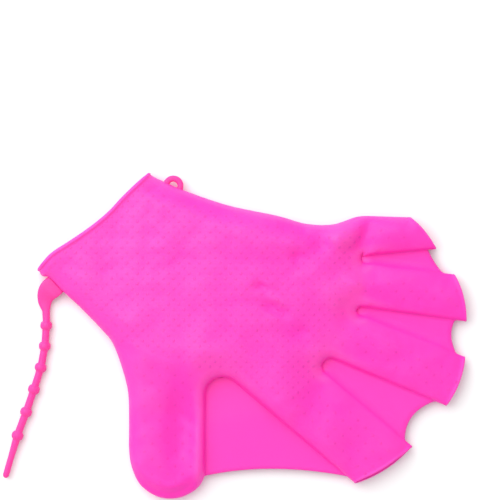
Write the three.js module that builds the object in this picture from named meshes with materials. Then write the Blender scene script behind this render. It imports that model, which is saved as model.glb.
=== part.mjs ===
import * as THREE from 'three';

// Webbed swim glove in soft silicone, lying flat.
// Millimetres, +X from the cuff to the fingertips, -Y towards the thumb, +Z up.

// Sizes of the glove as it lies flat
const handLength = 217;
const palmWidth = 103;
const cuffWidth = 81;
const cuffSlant = 32.2;
const sleeveWidth = 28.8;
const thumbWidth = 42;
const thumbReach = 112.6;
const thumbSlant = 72;
const palmHeight = 18;
const thumbHeight = 15;
const edgeHeight = 5;
const topRound = 24;
const baseRound = 6;
const wall = 1.3;
const sleeveEndBow = 0.07;
const openingLean = 2.2;
const cuffLean = 0.25;
const openingLeanReach = 14;
const openingHeight = 11;
const palmCentre = 82;

// Rim, webs and the clearance between pieces
const rimThickness = 2.6;
const webThickness = 1.5;
const webSetback = 6;
const seamGap = 0.3;

// Wrist strap and its loop
const tabLength = 17;
const tabWidth = 11.6;
const tabThickness = 2.6;
const neckWidth = 4.3;
const neckLength = 4.4;
const beadWidth = 6.6;
const beadPitch = 12.6;
const beadPitchGrowth = 0.6;
const beadCount = 6;
const linkWidth = 4.1;
const tailWidth = 3.5;
const strapReach = 149.1;
const beadLengthShare = 0.85;
const tabPlace = 11.5;
const loopInnerWidth = 4.5;
const loopStock = 3.4;
const loopPlace = 11.8;

// Crotches between the sleeves: place along the hand and out from its axis, and radius,
// as shares of hand length, palm width and sleeve width
const crotches = [
  { between: 'thumb and index', along: 0.446, out: -0.663, round: 0.33 },
  { between: 'index and middle', along: 0.683, out: -0.345, round: 0.15 },
  { between: 'middle and ring', along: 0.713, out: -0.012, round: 0.07 },
  { between: 'ring and little', along: 0.682, out: 0.256, round: 0.06 },
];

// Open ends of the finger sleeves: middle of the end and flat width as shares of hand length,
// palm width and sleeve width, the angle of the end's edge from the hand axis, and how far the
// upper skin stops short of the lower one, as a share of the opening's lean
const sleeveEnds = [
  { name: 'index_sleeve', along: 0.889, out: -0.759, width: 1.3, turn: 51, lean: 1 },
  { name: 'middle_sleeve', along: 0.998, out: -0.213, width: 1, turn: 87, lean: 0.3 },
  { name: 'ring_sleeve', along: 0.943, out: 0.222, width: 0.927, turn: 122, lean: 0.25 },
  { name: 'little_sleeve', along: 0.8, out: 0.491, width: 0.8, turn: 148, lean: 0.3 },
];

// Wave of the cuff's edge, out from a straight line at equal steps from its thumb side,
// as shares of cuff width
const cuffWave = [0.016, 0.028, 0.016, 0.002, -0.006, -0.004, 0.012, 0.022, 0.025];

// Side of the palm under the little finger, from the cuff to the sleeve's root,
// as shares of hand length and palm width
const littleSide = [
  { along: 0.122, out: 0.324 },
  { along: 0.203, out: 0.308 },
  { along: 0.313, out: 0.306 },
  { along: 0.438, out: 0.334 },
  { along: 0.51, out: 0.34 },
  { along: 0.576, out: 0.38 },
  { along: 0.627, out: 0.457 },
  { along: 0.656, out: 0.483 },
];

// Thumb side, first from the cuff to the thumb's root and then down the thumb,
// as shares of hand length and of the thumb's reach from the hand axis
const palmThumbSide = [
  { along: -0.01, out: -0.386 },
  { along: 0.036, out: -0.42 },
  { along: 0.11, out: -0.496 },
];
const thumbOuterSide = [
  { along: 0.1415, out: -0.538 },
  { along: 0.182, out: -0.636 },
  { along: 0.215, out: -0.738 },
  { along: 0.24, out: -0.87 },
];

// Closed end of the thumb, across and beyond the centre of the tip, as shares of thumb width
const thumbCentreAlong = 0.363;
const tipCorners = [2, 5];
const thumbTip = [
  { across: -0.5, beyond: -0.2 },
  { across: -0.47, beyond: 0.05 },
  { across: -0.35, beyond: 0.31 },
  { across: -0.12, beyond: 0.47 },
  { across: 0.12, beyond: 0.49 },
  { across: 0.31, beyond: 0.42 },
  { across: 0.44, beyond: 0.31 },
  { across: 0.5, beyond: 0.18 },
];

// Height of the upper skin and how far its sides are rounded, by station along the hand
const heightStations = [
  { along: -0.1, height: 0.66, round: 0.6 },
  { along: 0.05, height: 0.7, round: 0.7 },
  { along: 0.2, height: 0.86, round: 1 },
  { along: 0.4, height: 1, round: 1 },
  { along: 0.55, height: 0.96, round: 0.9 },
  { along: 0.7, height: 0.8, round: 0.65 },
  { along: 0.85, height: 0.67, round: 0.52 },
  { along: 1, height: 0.6, round: 0.5 },
];

// The thumb takes its own height and rounding over this share of its length
const thumbBlend = 0.5;
const thumbRound = 0.8;

// Dents and swells of the upper skin: place as shares of hand length and palm width, reach along
// and across the fold as shares of palm width, turn in degrees, depth as a share of palm height
const folds = [
  { where: 'thumb hollow', along: 0.355, out: -0.85, long: 0.24, wide: 0.09, turn: -72, depth: 0.16 },
  { where: 'thumb root ridge', along: 0.36, out: -0.6, long: 0.12, wide: 0.07, turn: -60, depth: -0.07 },
  { where: 'little side groove', along: 0.2, out: 0.25, long: 0.25, wide: 0.03, turn: -3, depth: 0.08 },
  { where: 'knuckle dent', along: 0.52, out: 0.22, long: 0.07, wide: 0.05, turn: 0, depth: 0.1 },
  { where: 'middle dent', along: 0.56, out: 0.06, long: 0.06, wide: 0.05, turn: 20, depth: 0.07 },
  { where: 'little root swell', along: 0.63, out: 0.33, long: 0.07, wide: 0.05, turn: 40, depth: -0.08 },
  { where: 'little root valley', along: 0.7, out: 0.34, long: 0.1, wide: 0.03, turn: 70, depth: 0.07 },
  { where: 'index root hollow', along: 0.69, out: -0.53, long: 0.14, wide: 0.07, turn: -24, depth: 0.08 },
];

// Free edges of the webs: the dip of the arc as a share of its chord, and how far each end of the
// edge stays back from the end of its sleeve, as shares of the web setback
const webs = [
  { name: 'web_thumb_index', dip: 0.055, thumbward: 0, littleward: 1.1 },
  { name: 'web_index_middle', dip: 0.17, thumbward: 0.9, littleward: 1.15 },
  { name: 'web_middle_ring', dip: 0.13, thumbward: 0.9, littleward: 1 },
  { name: 'web_ring_little', dip: 0.05, thumbward: 1.1, littleward: 0.7 },
];

// Route of the strap, along the hand and out from its axis, as shares of the strap's reach
const strapRoute = [
  { along: -0.0885, out: -0.3032 },
  { along: -0.0832, out: -0.3313 },
  { along: -0.0644, out: -0.3742 },
  { along: -0.0516, out: -0.4138 },
  { along: -0.0329, out: -0.4883 },
  { along: -0.0221, out: -0.5701 },
  { along: -0.0208, out: -0.6539 },
  { along: -0.0221, out: -0.7418 },
  { along: -0.0255, out: -0.835 },
  { along: -0.0208, out: -1 },
];

// Width of the strap's tab from the cuff to the neck: place as a share of the tab's length,
// width as a share of the way from the neck's width to the tab's
const tabTaper = [
  { at: 0, width: 1 },
  { at: 0.22, width: 0.92 },
  { at: 0.42, width: 0.8 },
  { at: 0.62, width: 0.56 },
  { at: 0.8, width: 0.25 },
  { at: 1, width: 0 },
];

// Sections of a bead, as shares of its half length from its middle
const beadProfile = [-1, -0.85, -0.5, 0, 0.5, 0.85, 1];

// Round end of the strap's tail: place from the end and width, as shares of the tail's width
const tailTaper = [
  { fromEnd: 0.5, width: 1 },
  { fromEnd: 0.2, width: 0.8 },
  { fromEnd: 0, width: 0.4 },
];

// Where the mesh's strips meet the cuff, as shares of its width, and where the thumb's branch and
// crotch lie on the way from the cuff to the finger crotches
const stripCuffShares = [0, 0.32, 0.54, 0.76, 1];
const branchAt = 0.3;
const thumbCrotchAt = 0.75;
const bodyPortion = 0.85;

// Mesh density
const columnsPerSleeve = 8;
const rowsToThumb = 4;
const rowsPastThumb = 8;
const rowsToCrotch = 5;
const rowsPerSleeve = 6;
const rowsDownThumb = 8;
const rowsRoundTip = 3;
const seamRowCount = 2;
const sectionSides = 10;
const rimSides = 8;
const crowding = 1.6;
const webEdgeSteps = 14;
const loopSteps = 12;

const silicone = { roughness: 0.5, metalness: 0 };
const glovePink = new THREE.MeshStandardMaterial({ color: 0xfd5ed3, ...silicone });
const webPink = new THREE.MeshStandardMaterial({ color: 0xff50d1, ...silicone });
const rimPink = new THREE.MeshStandardMaterial({ color: 0xf458c3, ...silicone });
const strapPink = new THREE.MeshStandardMaterial({ color: 0xf550b0, ...silicone });

const radians = THREE.MathUtils.degToRad;
const plan = (x, y) => new THREE.Vector2(x, y);
const heading = (degrees) => plan(Math.cos(radians(degrees)), Math.sin(radians(degrees)));
const lerpPoint = (from, to, share) => from.clone().lerp(to, share);
const onHand = (row, reach = palmWidth) => plan(row.along * handLength, row.out * reach);
const smooth = (value) => THREE.MathUtils.smoothstep(value, 0, 1);

// Shares from 0 to 1 in equal steps, crowded towards both ends, or crowded towards the far end
const evenShares = (steps) => Array.from({ length: steps + 1 }, (_, i) => i / steps);
const crowdedShares = (steps) => evenShares(steps).map((share) => (1 - Math.cos(Math.PI * share)) / 2);
const startCrowdedShares = (steps) => evenShares(steps).map((share) => share ** crowding);
const endCrowdedShares = (steps) => startCrowdedShares(steps).map((share) => 1 - share).reverse();

// Cuff: a slanted edge with a slight wave, set back by the rim and its gap
const cuffAcross = heading(90 - cuffSlant);
const cuffOutward = plan(-cuffAcross.y, cuffAcross.x);
const cuffSetback = rimThickness + seamGap;
const cuffCurve = new THREE.SplineCurve(cuffWave.map((out, i) => (
  plan(i / (cuffWave.length - 1) - 0.5, out).multiplyScalar(cuffWidth)
)));
function cuffPoint(share) {
  const { x, y } = cuffCurve.getPoint(share);
  return cuffAcross.clone().multiplyScalar(x).addScaledVector(cuffOutward, y - cuffSetback);
}

// Ends of the sleeves, each with a corner towards the thumb and one towards the little finger
const ends = sleeveEnds.map((end) => {
  const half = heading(end.turn).multiplyScalar((end.width * sleeveWidth) / 2);
  const middle = onHand(end);
  return { thumbward: middle.clone().sub(half), littleward: middle.clone().add(half) };
});
function endPoint({ thumbward, littleward }, share) {
  const across = littleward.clone().sub(thumbward);
  const bow = sleeveEndBow * 4 * share * (1 - share);
  return lerpPoint(thumbward, littleward, share).add(plan(across.y, -across.x).multiplyScalar(bow));
}

// Tip of the thumb
const thumbAxis = heading(-thumbSlant);
const thumbAcross = plan(-thumbAxis.y, thumbAxis.x);
const thumbCentre = plan(thumbCentreAlong * handLength, -thumbReach);
const tipPoints = thumbTip.map((row) => thumbCentre.clone()
  .addScaledVector(thumbAcross, row.across * thumbWidth)
  .addScaledVector(thumbAxis, row.beyond * thumbWidth));
const tipCurve = new THREE.SplineCurve(tipPoints);
const tipPart = (from, to) => (share) => tipCurve.getPoint(THREE.MathUtils.lerp(from, to, share));
const [tipStart, tipFinish] = tipCorners.map((corner) => corner / (tipPoints.length - 1));

// A web fills the wedge between two sleeves: a round crotch and two straight sides tangent to it
function makeWedge(crotch, thumbwardEnd, littlewardEnd) {
  const centre = onHand(crotch);
  const radius = crotch.round * sleeveWidth;
  const side = (end, turn) => {
    const reach = end.clone().sub(centre);
    const lean = Math.asin(radius / reach.length());
    const along = heading(THREE.MathUtils.radToDeg(reach.angle() + turn * lean));
    return { along, outward: plan(turn * along.y, -turn * along.x), end, turn };
  };
  const thumbward = side(thumbwardEnd, 1);
  const littleward = side(littlewardEnd, -1);
  const inward = thumbward.along.clone().add(littleward.along).normalize();
  return { centre, radius, thumbward, littleward, inward };
}

const rightShoulder = tipPoints[tipPoints.length - 1];
const wedges = crotches.map((crotch, i) => {
  const thumbwardEnd = i === 0 ? rightShoulder : ends[i - 1].littleward;
  return makeWedge(crotch, thumbwardEnd, ends[i].thumbward);
});

// Side of a wedge, from its apex round the crotch and then straight to the sleeve's end. Gives the
// point at a share of its length, moved into the web by the inset.
function wedgeSide(wedge, side) {
  const apexAngle = wedge.inward.clone().negate().angle();
  const apexOut = heading(THREE.MathUtils.radToDeg(apexAngle));
  const sweep = Math.acos(apexOut.dot(side.outward));
  const arcLength = wedge.radius * sweep;
  const tangentPoint = wedge.centre.clone().addScaledVector(side.outward, wedge.radius);
  const length = arcLength + tangentPoint.distanceTo(side.end);
  const pointAt = (share, inset = 0) => {
    const distance = share * length;
    if (distance < arcLength) {
      const angle = apexAngle + (side.turn * distance) / wedge.radius;
      const outward = heading(THREE.MathUtils.radToDeg(angle));
      return wedge.centre.clone().addScaledVector(outward, wedge.radius - inset);
    }
    return tangentPoint.clone()
      .addScaledVector(side.along, distance - arcLength)
      .addScaledVector(side.outward, -inset);
  };
  return { pointAt, length };
}

const thumbwardSides = wedges.map((wedge) => wedgeSide(wedge, wedge.thumbward));
const littlewardSides = wedges.map((wedge) => wedgeSide(wedge, wedge.littleward));
const apexes = thumbwardSides.map((side) => side.pointAt(0));

// Outer sides of the palm
const thumbBranch = onHand(palmThumbSide[palmThumbSide.length - 1], thumbReach);
const thumbSideCurve = new THREE.SplineCurve([
  cuffPoint(0),
  ...palmThumbSide.map((row) => onHand(row, thumbReach)),
  ...thumbOuterSide.map((row) => onHand(row, thumbReach)),
  tipPoints[0],
]);
const branchShare = palmThumbSide.length / (palmThumbSide.length + thumbOuterSide.length + 1);
const littleSideCurve = new THREE.SplineCurve([
  cuffPoint(1),
  ...littleSide.map((row) => onHand(row)),
]);
const littleRoot = onHand(littleSide[littleSide.length - 1]);

// Share of the index sleeve's lower side that lies before the point abreast of the next crotch
const rootReach = apexes[1].clone().sub(littlewardSides[0].pointAt(0)).dot(wedges[0].littleward.along);
const indexRootShare = rootReach / littlewardSides[0].length;

// Rows of the palm, as shares of each boundary from the cuff to the crotches
const firstRows = evenShares(rowsToThumb);
const thumbRows = crowdedShares(rowsPastThumb);
const lastRows = endCrowdedShares(rowsToCrotch);
const sleeveRows = startCrowdedShares(rowsPerSleeve);
const palmRows = [
  ...firstRows.map((share) => share * branchAt),
  ...thumbRows.slice(1).map((share) => THREE.MathUtils.lerp(branchAt, thumbCrotchAt, share)),
  ...lastRows.slice(1).map((share) => THREE.MathUtils.lerp(thumbCrotchAt, 1, share)),
];

// Boundaries of the four strips that run from the cuff into the sleeves
function palmBoundary(strip) {
  if (strip === 0) {
    return [
      ...firstRows.map((share) => thumbSideCurve.getPoint(share * branchShare)),
      ...thumbRows.slice(1).map((share) => lerpPoint(thumbBranch, apexes[0], share)),
      ...lastRows.slice(1).map((share) => littlewardSides[0].pointAt(share * indexRootShare)),
    ];
  }
  if (strip === 4) {
    return palmRows.map((share) => littleSideCurve.getPointAt(share));
  }
  const start = cuffPoint(stripCuffShares[strip]);
  return palmRows.map((share) => lerpPoint(start, apexes[strip], share));
}
const palmBoundaries = stripCuffShares.map((_, strip) => palmBoundary(strip));

// Seat for a piece on the side of the palm, at a distance from the cuff. The thumb side has the
// hand on its left and the other side has it on its right.
function seatOn(boundary, distance, handOnLeft) {
  let passed = 0;
  const next = boundary.findIndex((point, i) => {
    passed += i > 0 ? point.distanceTo(boundary[i - 1]) : 0;
    return passed > distance;
  });
  const along = boundary[next].clone().sub(boundary[next - 1]).normalize();
  const outward = handOnLeft ? plan(along.y, -along.x) : plan(-along.y, along.x);
  const place = boundary[next].clone().addScaledVector(along, distance - passed);
  return { place: place.addScaledVector(outward, seamGap), along, outward };
}
const tabSeat = seatOn(palmBoundaries[0], tabPlace, true);
const loopSeat = seatOn(palmBoundaries[4], loopPlace, false);

// Rows of the sleeves and the thumb, as shares of the wedge sides that they share with the webs
const bodyRows = startCrowdedShares(rowsDownThumb);
const tipRows = evenShares(rowsRoundTip);
const thumbwardShares = wedges.map((_, i) => (i === 0 ? bodyRows : sleeveRows));
const littlewardShares = wedges.map((_, i) => {
  const sleeveStart = i === 0 ? indexRootShare : 0;
  const before = i === 0 ? lastRows.slice(0, -1).map((share) => share * indexRootShare) : [];
  return [...before, ...sleeveRows.map((share) => THREE.MathUtils.lerp(sleeveStart, 1, share))];
});

// Grid of plan points between four boundaries, by transfinite interpolation
function fillPatch(near, far, left, right, acrossShares, alongShares) {
  return alongShares.map((v, row) => acrossShares.map((u, column) => {
    const across = lerpPoint(left[row], right[row], u);
    const along = lerpPoint(near[column], far[column], v);
    const nearLine = lerpPoint(near[0], near[near.length - 1], u);
    const farLine = lerpPoint(far[0], far[far.length - 1], u);
    return across.add(along).sub(lerpPoint(nearLine, farLine, v));
  }));
}

// The plan: patches that share their boundary points. A sleeve is cut a few rows past its root. Its
// root belongs to the hand shell, and the rest is a piece of its own, one seam further out.
const columns = crowdedShares(columnsPerSleeve);
const patches = [];
function addSleeve(piece, grid, openEnd, thumbShares = grid.map(() => 0)) {
  const cutRow = grid[seamRowCount].map((point, i) => {
    const ahead = grid[seamRowCount + 1][i].clone().sub(point).normalize();
    return point.clone().addScaledVector(ahead, seamGap);
  });
  patches.push({
    piece: 'hand_shell',
    grid: grid.slice(0, seamRowCount + 1),
    far: 'seam',
    thumbShares: thumbShares.slice(0, seamRowCount + 1),
  });
  patches.push({
    piece,
    grid: [cutRow, ...grid.slice(seamRowCount + 1)],
    near: 'seam',
    far: openEnd,
    thumbShares: thumbShares.slice(seamRowCount),
  });
}
for (let strip = 0; strip < 4; strip += 1) {
  const cuffLine = columns.map((u) => cuffPoint(THREE.MathUtils.lerp(
    stripCuffShares[strip],
    stripCuffShares[strip + 1],
    u,
  )));
  const left = palmBoundaries[strip];
  const right = palmBoundaries[strip + 1];
  const rootLine = columns.map((u) => lerpPoint(left[left.length - 1], right[right.length - 1], u));
  patches.push({
    piece: 'hand_shell',
    grid: fillPatch(cuffLine, rootLine, left, right, columns, palmRows),
    near: 'cuff',
    thumbShares: palmRows.map(() => 0),
  });

  const end = ends[strip];
  const sleeveLeft = littlewardShares[strip].slice(-sleeveRows.length)
    .map((share) => littlewardSides[strip].pointAt(share));
  const sleeveRight = sleeveRows.map((share) => (strip === 3
    ? lerpPoint(littleRoot, end.littleward, share)
    : thumbwardSides[strip + 1].pointAt(share)));
  const endLine = columns.map((share) => endPoint(end, share));
  const { name } = sleeveEnds[strip];
  addSleeve(name, fillPatch(rootLine, endLine, sleeveLeft, sleeveRight, columns, sleeveRows), name);
}

// The thumb grows from the index strip's outer boundary down to its closed tip
const thumbRootLine = thumbRows.map((share) => lerpPoint(thumbBranch, apexes[0], share));
const thumbLeft = [
  ...bodyRows.map((share) => thumbSideCurve.getPoint(THREE.MathUtils.lerp(branchShare, 1, share))),
  ...tipRows.slice(1).map((share) => tipPart(0, tipStart)(share)),
];
const thumbRight = [
  ...bodyRows.map((share) => thumbwardSides[0].pointAt(share)),
  ...tipRows.slice(1).map((share) => tipPart(1, tipFinish)(share)),
];
const thumbPlaces = [
  ...bodyRows.map((share) => share * bodyPortion),
  ...tipRows.slice(1).map((share) => THREE.MathUtils.lerp(bodyPortion, 1, share)),
];
const thumbEndLine = thumbRows.map((share) => tipPart(tipStart, tipFinish)(share));
addSleeve(
  'thumb_sleeve',
  fillPatch(thumbRootLine, thumbEndLine, thumbLeft, thumbRight, thumbRows, thumbPlaces),
  undefined,
  evenShares(thumbPlaces.length - 1),
);

// Merge the patches into one plan mesh of nodes and quads
const nodes = [];
const quads = [];
const nodeByPlace = new Map();
const openEdges = new Map();
const edgeKey = (a, b) => (a < b ? `${a}_${b}` : `${b}_${a}`);
function nodeAt(point, thumbShare) {
  const place = `${point.x.toFixed(3)},${point.y.toFixed(3)}`;
  if (!nodeByPlace.has(place)) {
    nodeByPlace.set(place, nodes.length);
    nodes.push({ point, thumbShare });
  }
  return nodeByPlace.get(place);
}
patches.forEach(({ piece, grid, near, far, thumbShares }) => {
  const indices = grid.map((line, row) => line.map((point) => nodeAt(point, thumbShares[row])));
  for (let row = 0; row < grid.length - 1; row += 1) {
    for (let column = 0; column < grid[row].length - 1; column += 1) {
      const corners = [
        indices[row][column],
        indices[row + 1][column],
        indices[row + 1][column + 1],
        indices[row][column + 1],
      ];
      quads.push({ piece, corners });
    }
  }
  [[near, indices[0]], [far, indices[grid.length - 1]]].filter(([name]) => name).forEach(([name, row]) => {
    row.slice(1).forEach((node, i) => openEdges.set(edgeKey(row[i], node), name));
  });
});

// Quads face up: turn any whose corners run clockwise
function planArea(corners) {
  return corners.reduce((sum, corner, i) => {
    const next = corners[(i + 1) % corners.length];
    return sum + nodes[corner].point.cross(nodes[next].point) / 2;
  }, 0);
}
const upQuads = quads.map(({ piece, corners }) => (
  { piece, corners: planArea(corners) < 0 ? [...corners].reverse() : corners }
));

// Outline of the plan: edges with one quad, split into closed sides and open ends
const edgeUse = new Map();
upQuads.forEach(({ corners }) => corners.forEach((corner, i) => {
  const key = edgeKey(corner, corners[(i + 1) % 4]);
  edgeUse.set(key, (edgeUse.get(key) ?? 0) + 1);
}));
const sideEdges = [...edgeUse.entries()]
  .filter(([key, uses]) => uses === 1 && !openEdges.has(key))
  .map(([key]) => key.split('_').map(Number));
const sideNodes = new Set(sideEdges.flat());

function distanceToEdges(point, edges) {
  return edges.reduce((best, [a, b]) => {
    const start = nodes[a].point;
    const edge = nodes[b].point.clone().sub(start);
    const share = THREE.MathUtils.clamp(point.clone().sub(start).dot(edge) / edge.lengthSq(), 0, 1);
    return Math.min(best, start.clone().addScaledVector(edge, share).distanceTo(point));
  }, Infinity);
}

// Heights of the upper and lower skin over the plan
function station(along, column) {
  const last = heightStations.length - 1;
  const next = heightStations.findIndex((row) => row.along > along);
  const upper = next < 0 ? last : Math.max(next, 1);
  const from = heightStations[upper - 1];
  const to = heightStations[upper];
  const share = THREE.MathUtils.clamp((along - from.along) / (to.along - from.along), 0, 1);
  return THREE.MathUtils.lerp(from[column], to[column], smooth(share));
}
const rounded = (share) => Math.sqrt(1 - (1 - Math.min(share, 1)) ** 2);
function foldDepth(point) {
  return folds.reduce((sum, fold) => {
    const away = point.clone().sub(onHand(fold)).rotateAround(plan(0, 0), -radians(fold.turn));
    const reach = (away.x / (fold.long * palmWidth)) ** 2 + (away.y / (fold.wide * palmWidth)) ** 2;
    return sum + fold.depth * palmHeight * Math.exp(-reach);
  }, 0);
}
function skinHeights(node) {
  const { point, thumbShare } = node;
  const along = point.x / handLength;
  const inside = distanceToEdges(point, sideEdges);
  const onThumb = smooth(thumbShare / thumbBlend);
  const full = THREE.MathUtils.lerp(station(along, 'height') * palmHeight, thumbHeight, onThumb);
  const round = station(along, 'round') * topRound * THREE.MathUtils.lerp(1, thumbRound, onThumb);
  const crown = full - foldDepth(point) - edgeHeight;
  return {
    top: edgeHeight + crown * rounded(inside / round),
    base: edgeHeight * (1 - rounded(inside / baseRound)),
  };
}

// At an open end the upper skin stops a little short of the lower one
const openEnds = [{ name: 'cuff', lean: cuffLean }, ...sleeveEnds].map(({ name, lean }) => {
  const edges = [...openEdges.entries()].filter(([, end]) => end === name)
    .map(([key]) => key.split('_').map(Number));
  const [first, last] = [nodes[edges[0][0]].point, nodes[edges[edges.length - 1][1]].point];
  const across = last.clone().sub(first).normalize();
  const outward = name === 'cuff' ? cuffOutward : plan(across.y, -across.x);
  return { name, edges, outward, lean };
});
function leanedBack(point, z) {
  const moved = point.clone();
  const raised = (z - edgeHeight) / (openingHeight - edgeHeight);
  openEnds.forEach((end) => {
    const near = 1 - distanceToEdges(point, end.edges) / openingLeanReach;
    if (near > 0) {
      moved.addScaledVector(end.outward, -end.lean * openingLean * smooth(near) * raised);
    }
  });
  return moved;
}

// Outer skin of the hand: top and bottom vertices, shared along the closed sides
const outer = [];
const topIndex = [];
const baseIndex = [];
nodes.forEach((node, i) => {
  const { top, base } = skinHeights(node);
  const isSide = sideNodes.has(i);
  const topPlace = isSide ? node.point : leanedBack(node.point, top);
  topIndex[i] = outer.push(new THREE.Vector3(topPlace.x, topPlace.y, isSide ? edgeHeight : top)) - 1;
  baseIndex[i] = isSide ? topIndex[i] : outer.push(new THREE.Vector3(node.point.x, node.point.y, base)) - 1;
});
function skinFaces(piece) {
  return upQuads.filter((quad) => !piece || quad.piece === piece).flatMap(({ corners }) => {
    const [a, b, c, d] = corners.map((corner) => topIndex[corner]);
    const [e, f, g, h] = corners.map((corner) => baseIndex[corner]);
    return [[a, b, c], [a, c, d], [e, g, f], [e, h, g]];
  });
}

function vertexNormals(points, faces) {
  const normals = points.map(() => new THREE.Vector3());
  faces.forEach(([a, b, c]) => {
    const ab = points[b].clone().sub(points[a]);
    const ac = points[c].clone().sub(points[a]);
    const area = ab.cross(ac);
    [a, b, c].forEach((corner) => normals[corner].add(area));
  });
  return normals.map((normal) => normal.normalize());
}

function geometryFrom(points, faces) {
  const geometry = new THREE.BufferGeometry();
  const coordinates = points.flatMap((point) => point.toArray());
  geometry.setAttribute('position', new THREE.Float32BufferAttribute(coordinates, 3));
  geometry.setIndex(faces.flat());
  geometry.computeVertexNormals();
  return geometry;
}

// Closed shell: the outer skin, the same skin moved in by the wall, and a strip round each open end
const outerNormals = vertexNormals(outer, skinFaces());
const inner = outer.map((point, i) => point.clone().addScaledVector(outerNormals[i], -wall));
function openEdgesOf(faces) {
  const directed = new Map();
  faces.forEach((face) => face.forEach((corner, i) => {
    directed.set(`${corner}_${face[(i + 1) % 3]}`, [corner, face[(i + 1) % 3]]);
  }));
  return [...directed.values()].filter(([a, b]) => !directed.has(`${b}_${a}`));
}

function shellOf(piece) {
  const skin = skinFaces(piece);
  const used = [...new Set(skin.flat())];
  const count = used.length;
  const place = new Map(used.map((vertex, i) => [vertex, i]));
  const outerFaces = skin.map((face) => face.map((vertex) => place.get(vertex)));
  const innerFaces = outerFaces.map(([a, b, c]) => [a + count, c + count, b + count]);
  const rimFaces = openEdgesOf(outerFaces)
    .flatMap(([a, b]) => [[b, a, a + count], [b, a + count, b + count]]);
  const points = [...used.map((vertex) => outer[vertex]), ...used.map((vertex) => inner[vertex])];
  return geometryFrom(points, [...outerFaces, ...innerFaces, ...rimFaces]);
}

// One closed loop of the hand shell's open edges, from a start vertex
function loopFrom(start) {
  const nextOf = new Map(openEdgesOf(skinFaces('hand_shell')));
  const loop = [start];
  for (let at = nextOf.get(start); at !== start; at = nextOf.get(at)) {
    loop.push(at);
  }
  return loop;
}

// Ring of a many-sided section swept round a closed loop that faces one direction
function sweepRing(centres, outward, radius, sides) {
  const count = centres.length;
  const points = centres.flatMap((centre, i) => {
    const before = centres[(i + count - 1) % count];
    const after = centres[(i + 1) % count];
    const tangent = after.clone().sub(before).normalize();
    const aside = new THREE.Vector3().crossVectors(tangent, outward).normalize();
    return evenShares(sides).slice(0, sides).map((share) => {
      const angle = 2 * Math.PI * share;
      return centre.clone()
        .addScaledVector(outward, radius * Math.cos(angle))
        .addScaledVector(aside, radius * Math.sin(angle));
    });
  });
  const faces = centres.flatMap((_, i) => evenShares(sides).slice(0, sides).flatMap((__, side) => {
    const next = (i + 1) % count;
    const after = (side + 1) % sides;
    const [a, b] = [i * sides + side, next * sides + side];
    const [c, d] = [next * sides + after, i * sides + after];
    return [[a, c, b], [a, d, c]];
  }));
  return geometryFrom(points, faces);
}

function cuffRim() {
  const cuffEdge = openEnds.find((end) => end.name === 'cuff').edges[0];
  const loop = loopFrom(topIndex[cuffEdge[0]]);
  const outward = new THREE.Vector3(cuffOutward.x, cuffOutward.y, 0);
  const radius = rimThickness / 2;
  const centres = loop.map((i) => {
    const centre = outer[i].clone().lerp(inner[i], 0.5);
    const edge = Math.max(outer[i].dot(outward), inner[i].dot(outward));
    centre.addScaledVector(outward, edge - centre.dot(outward) + radius + seamGap);
    centre.z = Math.max(centre.z, radius);
    return centre;
  });
  return sweepRing(centres, outward, radius, rimSides);
}

// A web: a thin plate between two sleeves, with a free edge that dips towards the crotch
function webPlate(i) {
  const web = webs[i];
  const sidePoints = (side, shares, setback) => {
    const kept = 1 - (setback * webSetback) / side.length;
    return [...shares.filter((share) => share < kept), kept].map((share) => side.pointAt(share, seamGap));
  };
  const first = sidePoints(thumbwardSides[i], thumbwardShares[i], web.thumbward);
  const second = sidePoints(littlewardSides[i], littlewardShares[i], web.littleward);
  const start = first[first.length - 1];
  const finish = second[second.length - 1];
  const chord = finish.distanceTo(start);
  const bend = lerpPoint(start, finish, 0.5).addScaledVector(wedges[i].inward, -2 * web.dip * chord);
  const shape = new THREE.Shape(first);
  shape.quadraticCurveTo(bend.x, bend.y, finish.x, finish.y);
  second.slice(1, -1).reverse().forEach((point) => shape.lineTo(point.x, point.y));
  const geometry = new THREE.ExtrudeGeometry(shape, {
    depth: webThickness,
    bevelEnabled: false,
    curveSegments: webEdgeSteps,
  });
  geometry.translate(0, 0, edgeHeight - webThickness / 2);
  return geometry;
}

// Solid swept along a route, with a width and a thickness at each of its sections
function sweepSections(sections) {
  const sides = sectionSides;
  const points = sections.flatMap(({ centre, across, width, thickness }) => (
    evenShares(sides).slice(0, sides).map((share) => {
      const angle = 2 * Math.PI * share;
      return centre.clone()
        .addScaledVector(across, (width / 2) * Math.cos(angle))
        .add(new THREE.Vector3(0, 0, (thickness / 2) * Math.sin(angle)));
    })
  ));
  const last = sections.length - 1;
  const faces = [];
  for (let ring = 0; ring < last; ring += 1) {
    for (let side = 0; side < sides; side += 1) {
      const after = (side + 1) % sides;
      const [a, b] = [ring * sides + side, (ring + 1) * sides + side];
      const [c, d] = [(ring + 1) * sides + after, ring * sides + after];
      faces.push([a, c, b], [a, d, c]);
    }
  }
  const [startCap, endCap] = [points.length, points.length + 1];
  points.push(sections[0].centre.clone(), sections[last].centre.clone());
  for (let side = 0; side < sides; side += 1) {
    const after = (side + 1) % sides;
    faces.push([startCap, after, side]);
    faces.push([endCap, last * sides + side, last * sides + after]);
  }
  return geometryFrom(points, faces);
}

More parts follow.
